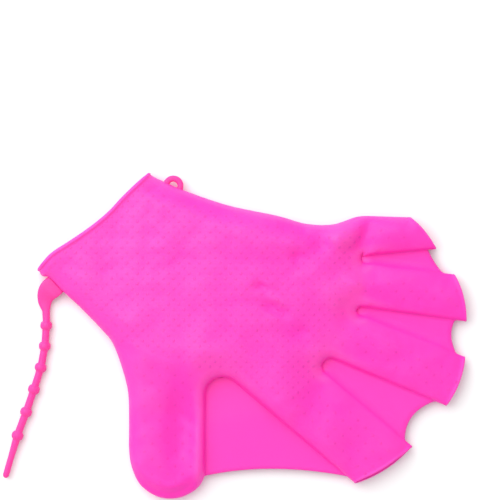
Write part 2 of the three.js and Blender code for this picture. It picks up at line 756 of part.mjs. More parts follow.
// Strap: a flat tab off the side of the cuff, a neck, a row of beads and a plain tail
function wristStrap() {
  const beadRadius = beadWidth / 2;
  const route = new THREE.CatmullRomCurve3([
    new THREE.Vector3(tabSeat.place.x, tabSeat.place.y, edgeHeight),
    ...strapRoute.map((row, i) => new THREE.Vector3(
      row.along * strapReach,
      row.out * strapReach,
      i === 0 ? edgeHeight : beadRadius,
    )),
  ]);
  const length = route.getLength();
  const sectionAt = (distance, width, thickness = width) => {
    const share = THREE.MathUtils.clamp(distance / length, 0, 1);
    const direction = route.getTangentAt(share);
    const across = new THREE.Vector3(-direction.y, direction.x, 0).normalize();
    return { centre: route.getPointAt(share), across, width, thickness };
  };
  const tab = tabTaper.map((row) => sectionAt(
    row.at * tabLength,
    THREE.MathUtils.lerp(neckWidth, tabWidth, row.width),
    tabThickness,
  ));
  tab[0].across = new THREE.Vector3(tabSeat.along.x, tabSeat.along.y, 0);
  const firstBead = tabLength + neckLength + beadRadius;
  const beads = evenShares(beadCount - 1).flatMap((_, bead) => {
    const growth = beadPitchGrowth * (bead - (beadCount - 1));
    const place = firstBead + bead * (beadPitch + growth / 2);
    return beadProfile.map((offset) => {
      const width = Math.max(linkWidth, beadWidth * Math.sqrt(1 - offset ** 2));
      return sectionAt(place + offset * beadLengthShare * beadRadius, width);
    });
  });
  const tail = tailTaper.map((row) => sectionAt(length - row.fromEnd * tailWidth, row.width * tailWidth));
  return sweepSections([...tab, ...beads, ...tail]);
}

// Loop: a bent rod whose two ends meet the side of the cuff
function strapLoop() {
  const radius = (loopInnerWidth + loopStock) / 2;
  const sections = evenShares(loopSteps).map((share) => {
    const angle = Math.PI * share;
    const across = loopSeat.along.clone().multiplyScalar(-Math.cos(angle))
      .addScaledVector(loopSeat.outward, Math.sin(angle));
    const centre = loopSeat.place.clone().addScaledVector(across, radius);
    return {
      centre: new THREE.Vector3(centre.x, centre.y, edgeHeight),
      across: new THREE.Vector3(across.x, across.y, 0),
      width: loopStock,
      thickness: loopStock,
    };
  });
  return sweepSections(sections);
}

// Assembly
const glove = new THREE.Group();
function addPiece(name, geometry, material) {
  const mesh = new THREE.Mesh(geometry, material);
  mesh.name = name;
  glove.add(mesh);
}
['hand_shell', 'thumb_sleeve', ...sleeveEnds.map((end) => end.name)].forEach((piece) => {
  addPiece(piece, shellOf(piece), glovePink);
});
addPiece('cuff_rim', cuffRim(), rimPink);
webs.forEach((web, i) => addPiece(web.name, webPlate(i), webPink));
addPiece('wrist_strap', wristStrap(), strapPink);
addPiece('strap_loop', strapLoop(), strapPink);
glove.position.x = -palmCentre;

export default glove;
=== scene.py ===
import math

import bmesh
import bpy
import numpy as np
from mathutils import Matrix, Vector, noise
from mathutils.bvhtree import BVHTree


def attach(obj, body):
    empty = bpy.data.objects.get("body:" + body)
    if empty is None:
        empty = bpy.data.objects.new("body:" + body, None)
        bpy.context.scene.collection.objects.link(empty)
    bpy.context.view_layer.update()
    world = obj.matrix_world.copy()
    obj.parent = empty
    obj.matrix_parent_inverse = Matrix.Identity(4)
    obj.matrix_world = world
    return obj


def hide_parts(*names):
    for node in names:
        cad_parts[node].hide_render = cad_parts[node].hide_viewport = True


# Webbed swim glove in soft pink silicone, seen from above on a white floor.
# Plan points are complex numbers in millimetres: the real part runs from the cuff to the
# fingertips, the imaginary part across the hand, away from the thumb.

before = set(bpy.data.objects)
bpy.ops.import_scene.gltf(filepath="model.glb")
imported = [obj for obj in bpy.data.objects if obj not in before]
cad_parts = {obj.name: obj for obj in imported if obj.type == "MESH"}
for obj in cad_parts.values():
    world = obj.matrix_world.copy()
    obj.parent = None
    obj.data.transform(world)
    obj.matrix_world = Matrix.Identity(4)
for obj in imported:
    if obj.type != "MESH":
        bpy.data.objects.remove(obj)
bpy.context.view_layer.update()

# Sizes of the glove as it lies flat
hand_length = 217.0
palm_width = 103.0
cuff_width = 81.0
cuff_slant = 32.2
sleeve_width = 28.8
thumb_width = 42.0
thumb_reach = 112.6
thumb_slant = 72.0
palm_height = 18.0
thumb_height = 12.5
edge_height = 5.0
outer_round = 17.0
hard_round = 1.9
hard_slope = 8.0
soft_slope = 14.0
hard_step = 0.6
soft_step = 0.1
base_round = 6.0
wall = 1.3
sleeve_end_bow = 0.07
opening_lean = 2.2
cuff_lean = 0.25
opening_lean_reach = 14.0
opening_height = 11.0
palm_centre = 82.0

# Crest of the skin along the crease at a web, highest near the crotches and on the thumb
crest_height = 1.0
crest_place = 3.6
crest_width = 2.4
crest_reach = 13.0

# The dents fade out towards the openings, and the skin sinks towards the crotches
calm_reach = 9.0
crotch_drop = 0.34
crotch_reach = 13.0

# Webs, and the fillets where they meet the skin
web_thickness = 1.5
web_setback = 6.0
hard_fillet = 0.5
hard_fillet_reach = 1.0
soft_fillet = 1.9
soft_fillet_reach = 4.75
fillet_fade = 7.0
foot_reach = 1.5
web_edge_bulge = 0.9

# A point inside the palm, which every opening faces away from
palm_heart = complex(90.0, -10.0)
palm_heart_height = 6.0

# Rolled rims of the cuff and of the finger openings: radius of the roll, and how far its centre
# stands beyond the end of the skin
cuff_roll = {"radius": 1.25, "beyond": 0.65}
finger_roll = {"radius": 0.75, "beyond": 0.3}
roll_turns = [110, 86, 58, 29, 0, -29, -58, -86, -110]
roll_smoothing = 2
roll_floor_gap = 0.02

# Wrist strap and loop
tab_length = 17.0
tab_width = 11.6
tab_thickness = 2.6
neck_width = 4.3
tail_length = 24.2
bead_width = 6.6
bead_pitch = 12.6
bead_pitch_growth = 0.6
bead_count = 6
bead_length_share = 0.85
link_width = 4.1
tail_width = 3.5
tab_place = 12.6
loop_inner_width = 4.5
loop_stock = 3.4
loop_place = 14.0
loop_overrun = 0.08
loop_fullness = 0.8
tab_fullness = 0.55
bead_power = 2.6
root_depth = 1.0
strap_height = bead_width / 2

# Mesh density
columns_per_sleeve = 24
rows_to_thumb = 26
rows_past_thumb = 32
rows_to_crotch = 18
rows_per_sleeve = 34
rows_past_web = 4
rows_round_tip = 12
crowding = 1.4
merge_decimals = 3
batch_size = 2000
tab_steps = 16
bead_steps = 13
strap_sides = 20
strap_look_ahead = 0.004
loop_steps = 30
loop_sides = 16
dot_sides = 9
dot_rings = 6

# Crotches between the sleeves: along the hand, out from its axis, radius, as shares
crotches = [
    {"along": 0.446, "out": -0.663, "round": 0.33},
    {"along": 0.683, "out": -0.345, "round": 0.15},
    {"along": 0.713, "out": -0.012, "round": 0.07},
    {"along": 0.682, "out": 0.256, "round": 0.06},
]

# Open ends of the index, middle, ring and little sleeves. The lean says how far the upper skin
# stops short of the lower one, as a share of opening_lean, and the lip how high the lower one
# rises, in millimetres.
sleeve_ends = [
    {"along": 0.889, "out": -0.759, "width": 1.3, "turn": 51, "lean": 0.95, "lip": 3.2},
    {"along": 0.998, "out": -0.213, "width": 1.0, "turn": 87, "lean": 0.3, "lip": 1.0},
    {"along": 0.943, "out": 0.222, "width": 0.927, "turn": 122, "lean": 0.25, "lip": 1.0},
    {"along": 0.8, "out": 0.491, "width": 0.8, "turn": 148, "lean": 0.3, "lip": 1.0},
]

# Wave of the cuff's edge, out from a straight line at equal steps from its thumb side
cuff_wave = [0.006, 0.028, 0.016, 0.002, -0.006, -0.004, 0.012, 0.022, 0.025]

# Sides of the palm and of the thumb, as shares of the hand's length and out from its axis
little_side = [
    (0.122, 0.324), (0.203, 0.308), (0.313, 0.306), (0.438, 0.334),
    (0.51, 0.34), (0.576, 0.38), (0.627, 0.457), (0.656, 0.483),
]
palm_thumb_side = [
    (-0.083, -0.329), (-0.066, -0.326), (-0.043, -0.347), (-0.0192, -0.3712), (0.036, -0.42),
    (0.11, -0.496),
]
thumb_outer_side = [(0.1415, -0.538), (0.182, -0.636), (0.215, -0.738), (0.24, -0.87)]
thumb_centre_along = 0.363

# Tip of the thumb: across and beyond its centre, as shares of its width
thumb_tip = [
    (-0.5, -0.2), (-0.47, 0.05), (-0.35, 0.31), (-0.12, 0.47),
    (0.12, 0.49), (0.31, 0.42), (0.44, 0.31), (0.5, 0.18),
]

# Shares of the tip's line between which the thumb's last row lies
tip_start = 2 / 7
tip_finish = 5 / 7

# Height of the upper skin and rounding of its sides, by station along the hand
stations = {
    "along": [-0.1, 0.05, 0.2, 0.4, 0.55, 0.7, 0.85, 1.0],
    "height": [0.66, 0.7, 0.88, 1.0, 0.93, 0.72, 0.56, 0.47],
    "round": [0.6, 0.7, 1.0, 1.0, 0.9, 0.65, 0.52, 0.5],
}
thumb_blend = 0.5
thumb_round = 0.5

# Free edges of the webs: dip of the arc, setbacks of its two ends, and columns of the mesh
webs = [
    {"dip": 0.055, "thumbward": 0.0, "littleward": 1.1, "columns": 30},
    {"dip": 0.17, "thumbward": 0.9, "littleward": 1.15, "columns": 18},
    {"dip": 0.13, "thumbward": 0.9, "littleward": 1.0, "columns": 14},
    {"dip": 0.05, "thumbward": 1.1, "littleward": 0.7, "columns": 12},
]

# Where the strips of the mesh meet the cuff, and where the thumb's branch and crotch lie
strip_cuff_shares = [0, 0.32, 0.54, 0.76, 1]
branch_at = 0.3
thumb_crotch_at = 0.75
body_portion = 0.85
little_web_at = 0.92

# How near a side lies to a web's straight side or to the arc round its crotch where they meet
straight_tolerance = 0.05
arc_tolerance = 0.15


def heading(degrees):
    return np.exp(1j * np.radians(degrees))


def mix(a, b, share):
    return a + (b - a) * share


def dot(a, b):
    return (np.conjugate(a) * b).real


def smooth(value):
    value = np.clip(value, 0, 1)
    return value * value * (3 - 2 * value)


def on_hand(along, out, reach=palm_width):
    return along * hand_length + 1j * out * reach


def even(steps):
    return np.linspace(0, 1, steps + 1)


def crowd_both(steps):
    return (1 - np.cos(np.pi * even(steps))) / 2


def crowd_start(steps):
    return even(steps) ** crowding


def crowd_end(steps):
    return 1 - crowd_start(steps)[::-1]


class Spline:
    """A smooth line through points, read by share of its spans or by share of its length."""

    steps = 24

    def __init__(self, points):
        points = np.asarray(points)
        self.spans = len(points) - 1
        padded = np.concatenate([points[:1], points, points[-1:]])
        share = np.arange(self.steps) / self.steps
        if points.ndim > 1:
            share = share[:, None]
        pieces = []
        for i in range(self.spans):
            p0, p1, p2, p3 = padded[i:i + 4]
            v0 = (p2 - p0) / 2
            v1 = (p3 - p1) / 2
            pieces.append(
                (2 * p1 - 2 * p2 + v0 + v1) * share**3
                + (-3 * p1 + 3 * p2 - 2 * v0 - v1) * share**2
                + v0 * share
                + p1
            )
        self.line = np.concatenate(pieces + [points[-1:]])
        step = np.abs(np.diff(self.line, axis=0))
        if points.ndim > 1:
            step = np.sqrt((step**2).sum(axis=1))
        self.reached = np.concatenate([[0], np.cumsum(step)])
        self.length = self.reached[-1]

    def read(self, places, at):
        if self.line.ndim == 1:
            return np.interp(at, places, self.line)
        return np.stack([np.interp(at, places, column) for column in self.line.T], axis=-1)

    def by_span(self, share):
        return self.read(np.arange(len(self.line)), np.asarray(share) * self.spans * self.steps)

    def by_length(self, share):
        return self.read(self.reached / self.length, share)


# Cuff and sleeve ends
cuff_across = heading(90 - cuff_slant)
cuff_outward = 1j * cuff_across
cuff_setback = cuff_roll["radius"] + cuff_roll["beyond"]
cuff_line = Spline([
    cuff_width * complex(i / (len(cuff_wave) - 1) - 0.5, out) for i, out in enumerate(cuff_wave)
])


def cuff_point(share):
    spot = cuff_line.by_span(share)
    return cuff_across * spot.real + cuff_outward * (spot.imag - cuff_setback)


def sleeve_end(row):
    half = heading(row["turn"]) * row["width"] * sleeve_width / 2
    middle = on_hand(row["along"], row["out"])
    setback = finger_roll["radius"] + finger_roll["beyond"]
    back = 1j * heading(row["turn"]) * setback
    return {"thumbward": middle - half + back, "littleward": middle + half + back}


def end_point(end, share):
    across = end["littleward"] - end["thumbward"]
    bow = sleeve_end_bow * 4 * share * (1 - share)
    return mix(end["thumbward"], end["littleward"], share) - 1j * across * bow


ends = [sleeve_end(row) for row in sleeve_ends]

# Tip of the thumb
thumb_axis = heading(-thumb_slant)
thumb_centre = thumb_centre_along * hand_length - 1j * thumb_reach
tip_points = np.array([
    thumb_centre + thumb_width * (1j * thumb_axis * across + thumb_axis * beyond)
    for across, beyond in thumb_tip
])
tip_curve = Spline(tip_points)


class WedgeSide:
    """One side of a web's wedge, from its apex round the crotch and straight on to a sleeve."""

    def __init__(self, centre, radius, apex_out, along, outward, end, turn):
        self.centre, self.radius, self.apex_out = centre, radius, apex_out
        self.along, self.outward, self.turn = along, outward, turn
        self.arc = radius * np.arccos(dot(apex_out, outward))
        self.tangent_point = centre + outward * radius
        self.length = self.arc + abs(end - self.tangent_point)

    def at(self, share):
        distance = np.asarray(share, float) * self.length
        angle = self.turn * np.minimum(distance, self.arc) / self.radius
        turned = self.apex_out * np.exp(1j * angle)
        straight = np.maximum(distance - self.arc, 0)
        return self.centre + turned * self.radius + self.along * straight


def wedge_sides(crotch, thumbward_end, littleward_end):
    centre = on_hand(crotch["along"], crotch["out"])
    radius = crotch["round"] * sleeve_width
    sides = []
    for end, turn in ((thumbward_end, 1), (littleward_end, -1)):
        reach = end - centre
        lean = turn * np.arcsin(radius / abs(reach))
        along = reach / abs(reach) * np.exp(1j * lean)
        sides.append((along, -1j * turn * along, end, turn))
    inward = sides[0][0] + sides[1][0]
    inward /= abs(inward)
    made = [WedgeSide(centre, radius, -inward, *side) for side in sides]
    return made[0], made[1], inward


wedges = []
for i, crotch in enumerate(crotches):
    thumbward_end = tip_points[-1] if i == 0 else ends[i - 1]["littleward"]
    wedges.append(wedge_sides(crotch, thumbward_end, ends[i]["thumbward"]))
apexes = [complex(wedge[0].at(0)) for wedge in wedges]

# Outer sides of the palm
thumb_branch = on_hand(*palm_thumb_side[-1], thumb_reach)
thumb_side = Spline([
    cuff_point(0),
    *[on_hand(*row, thumb_reach) for row in palm_thumb_side + thumb_outer_side],
    tip_points[0],
])
branch_share = len(palm_thumb_side) / thumb_side.spans
little_root = on_hand(*little_side[-1])
little_line = Spline([cuff_point(1), *[on_hand(*row) for row in little_side]])

index_side = wedges[0][1]
root_reach = dot(index_side.along, apexes[1] - index_side.at(0))
index_root_share = root_reach / index_side.length

# Rows of the palm from the cuff to the crotches
first_rows = even(rows_to_thumb)
thumb_rows = crowd_both(rows_past_thumb)
last_rows = crowd_end(rows_to_crotch)
palm_rows = np.concatenate([
    first_rows * branch_at,
    mix(branch_at, thumb_crotch_at, thumb_rows[1:]),
    mix(thumb_crotch_at, 1, last_rows[1:]),
])


def palm_boundary(strip):
    if strip == 0:
        return np.concatenate([
            thumb_side.by_span(first_rows * branch_share),
            mix(thumb_branch, apexes[0], thumb_rows[1:]),
            index_side.at(last_rows[1:] * index_root_share),
        ])
    if strip == 4:
        return little_line.by_length(palm_rows)
    return mix(cuff_point(strip_cuff_shares[strip]), apexes[strip], palm_rows)


boundaries = [palm_boundary(strip) for strip in range(5)]


def side_shares(side, setback, start=0.0):
    """Shares of a wedge side at which the rows of a sleeve meet it. The web ends at the last but
    rows_past_web of them."""
    kept = 1 - setback * web_setback / side.length
    past = mix(kept, 1, even(rows_past_web)[1:])
    return np.concatenate([mix(start, kept, crowd_start(rows_per_sleeve)), past])


def fill_patch(near, far, left, right, across, along):
    u = across[None, :]
    v = along[:, None]
    rows = mix(left[:, None], right[:, None], u)
    lines = mix(near[None, :], far[None, :], v)
    corners = mix(mix(near[0], near[-1], u), mix(far[0], far[-1], u), v)
    return rows + lines - corners


# Patches of the plan. The hand's patches come first, then the webs'.
columns = crowd_both(columns_per_sleeve)
sleeve_rows = np.concatenate([
    crowd_start(rows_per_sleeve) * little_web_at,
    mix(little_web_at, 1, even(rows_past_web)[1:]),
])
patches = []
for strip in range(4):
    left, right = boundaries[strip], boundaries[strip + 1]
    cuff_row = cuff_point(mix(strip_cuff_shares[strip], strip_cuff_shares[strip + 1], columns))
    root_line = mix(left[-1], right[-1], columns)
    patches.append({
        "grid": fill_patch(cuff_row, root_line, left, right, columns, palm_rows),
        "open": 0,
    })
    side = wedges[strip][1]
    start = index_root_share if strip == 0 else 0.0
    sleeve_left = side.at(side_shares(side, webs[strip]["littleward"], start))
    if strip == 3:
        sleeve_right = mix(little_root, ends[3]["littleward"], sleeve_rows)
    else:
        side = wedges[strip + 1][0]
        sleeve_right = side.at(side_shares(side, webs[strip + 1]["thumbward"]))
    patches.append({
        "grid": fill_patch(root_line, end_point(ends[strip], columns),
                           sleeve_left, sleeve_right, columns, sleeve_rows),
        "open": -1,
    })

rows_down_thumb = rows_to_crotch + rows_per_sleeve
body_rows = crowd_start(rows_down_thumb)
tip_rows = crowd_end(rows_round_tip)
thumb_left = np.concatenate([
    thumb_side.by_span(mix(branch_share, 1, body_rows)),
    tip_curve.by_span(tip_rows[1:] * tip_start),
])
thumb_right = np.concatenate([
    wedges[0][0].at(body_rows),
    tip_curve.by_span(mix(1, tip_finish, tip_rows[1:])),
])
thumb_shares = np.concatenate([body_rows * body_portion, mix(body_portion, 1, tip_rows[1:])])
patches.append({
    "grid": fill_patch(
        mix(thumb_branch, apexes[0], thumb_rows),
        tip_curve.by_span(mix(tip_start, tip_finish, thumb_rows)),
        thumb_left, thumb_right, thumb_rows, thumb_shares,
    ),
    "thumb": thumb_shares,
})

for i, web in enumerate(webs):
    thumbward, littleward, inward = wedges[i]
    if i == 0:
        first = thumbward.at(body_rows)
        sleeve_part = side_shares(littleward, web["littleward"], index_root_share)
        second = littleward.at(np.concatenate([
            last_rows[:-1] * index_root_share,
            sleeve_part[:rows_per_sleeve + 1],
        ]))
    else:
        first = thumbward.at(side_shares(thumbward, web["thumbward"])[:rows_per_sleeve + 1])
        second = littleward.at(side_shares(littleward, web["littleward"])[:rows_per_sleeve + 1])
    start, finish = first[-1], second[-1]
    bend = (start + finish) / 2 - inward * 2 * web["dip"] * abs(finish - start)
    across = crowd_both(web["columns"])
    edge_line = mix(mix(start, bend, across), mix(bend, finish, across), across)
    near = np.full(len(across), first[0])
    patches.append({
        "grid": fill_patch(near, edge_line, first, second, across, even(len(first) - 1)),
        "web": i,
    })

# One plan mesh: points that patches share become one node
spots = np.concatenate([patch["grid"].ravel() for patch in patches])
keys = np.stack([spots.real, spots.imag], axis=1).round(merge_decimals) + 0.0
_, chosen, node_of = np.unique(keys, axis=0, return_index=True, return_inverse=True)
node_of = node_of.ravel()
nodes = spots[chosen]
thumb_share = np.zeros(len(nodes))
hand_quads, web_quads, open_edges = [], [], []
place = 0
for patch in patches:
    shape = patch["grid"].shape
    index = node_of[place:place + shape[0] * shape[1]].reshape(shape)
    place += shape[0] * shape[1]
    quads = np.stack([index[:-1, :-1], index[1:, :-1], index[1:, 1:], index[:-1, 1:]], axis=-1)
    quads = quads.reshape(-1, 4)
    (web_quads if "web" in patch else hand_quads).append(quads)
    if "thumb" in patch:
        thumb_share[index] = np.maximum(thumb_share[index], patch["thumb"][:, None])
    if "open" in patch:
        row = index[patch["open"]]
        open_edges.append(np.stack([row[:-1], row[1:]], axis=1))


def face_up(quads):
    """Turn the quads whose corners run clockwise, and drop a corner that repeats another."""
    corners = nodes[quads]
    after = np.roll(corners, -1, axis=1)
    area = (corners.real * after.imag - corners.imag * after.real).sum(axis=1)
    quads = np.where(area[:, None] < 0, quads[:, ::-1], quads)
    return [list(dict.fromkeys(quad)) for quad in quads.tolist()]


hand_faces = face_up(np.concatenate(hand_quads))
web_faces = face_up(np.concatenate(web_quads))


def outline_of(faces):
    """Edges that one face uses, each in the direction in which that face runs round it."""
    seen = {(a, b) for face in faces for a, b in zip(face, face[1:] + face[:1])}
    return [(a, b) for a, b in seen if (b, a) not in seen]


def ordered(edge):
    return (min(edge), max(edge))


openings = [{ordered(edge) for edge in edges.tolist()} for edges in open_edges]
cuff_edges = set.union(*openings[0::2])
opening_sets = [cuff_edges, *openings[1::2]]
all_open = set.union(*opening_sets)
hand_sides = [edge for edge in outline_of(hand_faces) if ordered(edge) not in all_open]
side_nodes = {node for edge in hand_sides for node in edge}


def side_kind(edge):
    """How a side of the hand meets what is beside it: hard or soft at a web, or outer."""
    spot = (nodes[edge[0]] + nodes[edge[1]]) / 2
    for i, (thumbward, littleward, _) in enumerate(wedges):
        for side in (thumbward, littleward):
            away = spot - side.tangent_point
            beside = abs(dot(side.outward, away)) < straight_tolerance
            if beside and 0 < dot(side.along, away) < side.length:
                return "soft" if side is thumbward and i > 0 else "hard"
        if abs(abs(spot - thumbward.centre) - thumbward.radius) < arc_tolerance:
            return "hard"
    return "outer"


sides_of = {"hard": [], "soft": [], "outer": []}
for edge in hand_sides:
    sides_of[side_kind(edge)].append(edge)
web_nodes = {node for face in web_faces for node in face}


def distance_to(points, edges):
    """Distance from plan points to the nearest of the edges."""
    ends_of = np.array(sorted(edges))
    start = nodes[ends_of[:, 0]][None, :]
    reach = nodes[ends_of[:, 1]][None, :] - start
    nearest = np.empty(len(points))
    for first in range(0, len(points), batch_size):
        batch = slice(first, first + batch_size)
        away = points[batch, None] - start
        share = np.clip(dot(reach, away) / np.abs(reach) ** 2, 0, 1)
        nearest[batch] = np.abs(away - reach * share).min(axis=1)
    return nearest


# Forms of the upper skin: round dents and swells, then strokes along a line, then a fine
# unevenness. Places are millimetres from the palm's centre, and a depth below zero is a swell.
dents = [
    {"at": (-2, -90), "long": 25, "wide": 8, "turn": -72, "depth": 4.4},
    {"at": (-3, -56), "long": 12, "wide": 6, "turn": -75, "depth": -0.8},
    {"at": (-32, 27), "long": 34, "wide": 4, "turn": 0, "depth": 2.4},
    {"at": (22, 31), "long": 9, "wide": 5, "turn": 5, "depth": 2.2},
    {"at": (40, 27), "long": 6, "wide": 6, "turn": 20, "depth": 3.4},
    {"at": (32, 16), "long": 8, "wide": 6, "turn": 0, "depth": 1.8},
    {"at": (49, 34), "long": 8, "wide": 6, "turn": 75, "depth": -2.6},
    {"at": (57, 1), "long": 9, "wide": 9, "turn": 0, "depth": -2.4},
    {"at": (64, 12), "long": 6, "wide": 7, "turn": 0, "depth": -2.4},
    {"at": (58, -31), "long": 6, "wide": 7, "turn": 0, "depth": -2.6},
    {"at": (2, -49), "long": 14, "wide": 7, "turn": 0, "depth": -2.4},
    {"at": (61.5, 38), "long": 12, "wide": 4, "turn": 88, "depth": 3.0},
    {"at": (43, -24), "long": 9, "wide": 6, "turn": 0, "depth": 1.1},
    {"at": (29.6, 15.7), "long": 3.5, "wide": 2.5, "turn": 0, "depth": 1.2},
    {"at": (45, -21.8), "long": 4, "wide": 3, "turn": 60, "depth": 1.1},
    {"at": (68, -55), "long": 16, "wide": 7, "turn": -24, "depth": 1.5},
]
strokes = [
    {"line": [(12, -8.8), (14.5, -5), (18.7, -5.5), (20.8, -8)], "width": 1.7, "depth": 2.2},
    {"line": [(19, -5.5), (22.5, -8.2), (26.5, -9.2), (33, -9.6)], "width": 1.3, "depth": -1.2},
    {"line": [(20, -14.6), (26, -14.6), (32.6, -15.8), (33.6, -12)], "width": 2.5, "depth": 2.2},
    {"line": [(24, 33), (32, 30), (41, 32)], "width": 1.6, "depth": 0.5},
    {"line": [(-17, -124.5), (-12, -128), (-4.4, -130), (4, -129), (11, -124), (15, -117.5)],
     "width": 2.4, "depth": 2.4},
    {"line": [(-22, -112), (-18.5, -119), (-11, -123.5), (-3, -125.5), (4, -124), (9, -118.5)],
     "width": 1.8, "depth": -0.9},
    {"line": [(66, 29.8), (63.4, 28.8), (62.5, 26.4), (63.2, 24), (65.6, 22.9)],
     "width": 1.1, "depth": -1.4},
]
mottle = [{"scale": 15.0, "depth": 1.1}, {"scale": 6.0, "depth": 0.45}]


def relief(points):
    """Depth of the upper skin below its plain form, at plan points."""
    depth = np.zeros(len(points))
    for dent in dents:
        away = (points - palm_centre - complex(*dent["at"])) * heading(-dent["turn"])
        reach = (away.real / dent["long"]) ** 2 + (away.imag / dent["wide"]) ** 2
        depth += dent["depth"] * np.exp(-reach)
    for stroke in strokes:
        line = Spline([complex(*spot) for spot in stroke["line"]]).line + palm_centre
        away = np.abs(points[:, None] - line[None, :])
        fade = np.sin(np.pi * (away.argmin(axis=1) + 1) / (len(line) + 1)) ** 0.5
        depth += stroke["depth"] * fade * np.exp(-((away.min(axis=1) / stroke["width"]) ** 2))
    for wave in mottle:
        waves = [noise.noise((spot.real, spot.imag, 0)) for spot in points / wave["scale"]]
        depth += wave["depth"] * np.array(waves)
    return depth


def rounded(share):
    return np.sqrt(1 - (1 - np.minimum(share, 1)) ** 2)


def station(along, column):
    at = np.array(stations["along"])
    values = np.array(stations[column])
    upper = np.clip(np.searchsorted(at, along, side="right"), 1, len(at) - 1)
    share = smooth((along - at[upper - 1]) / (at[upper] - at[upper - 1]))
    return mix(values[upper - 1], values[upper], share)


def stepped(distance, reach, step):
    """Rise of the skin beside a web: a small steep step, then a long gentle slope."""
    slope = 1 - (1 - np.minimum(distance / reach, 1)) ** 2
    return mix(slope, rounded(distance / hard_round), step)


# Heights of the plan's nodes
inside = {kind: distance_to(nodes, edges) for kind, edges in sides_of.items()}
along = nodes.real / hand_length
on_thumb = smooth(thumb_share / thumb_blend)
full = mix(station(along, "height") * palm_height, thumb_height, on_thumb)
outer_reach = station(along, "round") * outer_round * mix(1, thumb_round, on_thumb)
is_side = np.zeros(len(nodes), bool)
is_side[list(side_nodes)] = True
is_web = np.zeros(len(nodes), bool)
is_web[list(web_nodes)] = True
to_crotch = np.min([np.abs(nodes - wedge[0].centre) - wedge[0].radius for wedge in wedges], axis=0)
crested = np.maximum(np.exp(-((to_crotch / crest_reach) ** 2)), on_thumb)
crest = crest_height * crested * np.exp(-(((inside["hard"] - crest_place) / crest_width) ** 2))
calm = smooth(distance_to(nodes, all_open) / calm_reach)
sunk_and_painted_shade = relief(nodes) * calm - crest
lowered = crotch_drop * np.exp(-((to_crotch / crotch_reach) ** 2))
crown = (full - sunk_and_painted_shade - edge_height) * (1 - lowered)
soft_rise = stepped(inside["soft"], soft_slope, soft_step)
other_rise = np.minimum(
    stepped(inside["hard"], hard_slope, hard_step),
    rounded(inside["outer"] / outer_reach),
)
nearest = np.minimum.reduce(list(inside.values()))
top = edge_height + crown * np.minimum(soft_rise, other_rise)
base = edge_height * (1 - rounded(nearest / base_round))
top[is_side] = edge_height
base[is_side] = edge_height

# Near an open end the upper skin stops a little short of the lower one, which rises to a lip
top_plan = nodes.copy()
leans = [cuff_lean, *[row["lean"] for row in sleeve_ends]]
lips = [0.0, *[row["lip"] for row in sleeve_ends]]
for edges, lean, lip in zip(opening_sets, leans, lips):
    row = sorted(edges)
    near = 1 - distance_to(nodes, row) / opening_lean_reach
    if edges is cuff_edges:
        outward = cuff_outward
    else:
        spots_of = nodes[np.array(row).ravel()]
        centre = spots_of.mean()
        reach = spots_of - centre
        across = reach[np.argmax(np.abs(reach))]
        across /= abs(across)
        outward = -1j * across
        outward *= np.sign(dot(outward, centre - palm_heart))
    raised = (top - edge_height) / (opening_height - edge_height)
    shift = np.where(is_side, 0, lean * opening_lean * smooth(near) * raised)
    top_plan -= outward * shift
    base += np.where(is_side, 0, lip * smooth(near) * np.clip(raised, 0, 1))


def stack(plan, heights):
    return np.stack([plan.real, plan.imag, heights], axis=1)


def vertex_normals(points, faces):
    normals = np.zeros_like(points)
    corners = np.array([
        [face[0], face[k], face[k + 1]] for face in faces for k in range(1, len(face) - 1)
    ])
    a, b, c = (points[corners[:, k]] for k in range(3))
    area = np.cross(b - a, c - a)
    for k in range(3):
        np.add.at(normals, corners[:, k], area)
    return normals / np.maximum(np.linalg.norm(normals, axis=1), 1e-9)[:, None]


# Plain outer skin of the hand, for the directions of its wall. Points 0 to count are the upper
# skin and the rest the lower one. A side has one point for both.
count = len(nodes)
plain = np.concatenate([stack(top_plan, top), stack(nodes, base)])
plain_under = [i if is_side[i] else i + count for i in range(count)]
plain_faces = hand_faces + [[plain_under[i] for i in reversed(face)] for face in hand_faces]
plain_normals = vertex_normals(plain, plain_faces)
inner = plain - plain_normals * wall

# Outer skin with its webs: creases and webs have an upper and a lower point
half_web = web_thickness / 2
hand_side_set = {ordered(edge) for edge in hand_sides}
web_edges = [edge for edge in outline_of(web_faces) if ordered(edge) not in hand_side_set]
fade = smooth(distance_to(nodes, web_edges) / fillet_fade)
soft_web = [edge for edge in sides_of["soft"] if is_web[edge[0]] and is_web[edge[1]]]
to_soft_web = distance_to(nodes, soft_web)
blend_soft = soft_fillet * fade * np.clip(1 - to_soft_web / soft_fillet_reach, 0, 1) ** 2
blend_hard = hard_fillet * fade * np.clip(1 - inside["hard"] / hard_fillet_reach, 0, 1) ** 2
fillet = np.maximum(blend_soft, blend_hard)
beside_web = np.clip(1 - (to_soft_web - inside["soft"]) / foot_reach, 0, 1)
foot = (half_web + soft_fillet * fade) * (1 - soft_rise) * beside_web
top = np.where(is_side | (soft_rise > other_rise), top, top + foot)
top = np.where(is_web, edge_height + half_web + fillet, top)
base = np.where(is_web, edge_height - half_web - np.minimum(fillet, hard_fillet), base)
outer = np.concatenate([stack(top_plan, top), stack(nodes, base)])
merged = is_side & ~is_web
under = [i if merged[i] else i + count for i in range(count)]
glove_faces = hand_faces + web_faces
outer_faces = glove_faces + [[under[i] for i in reversed(face)] for face in glove_faces]

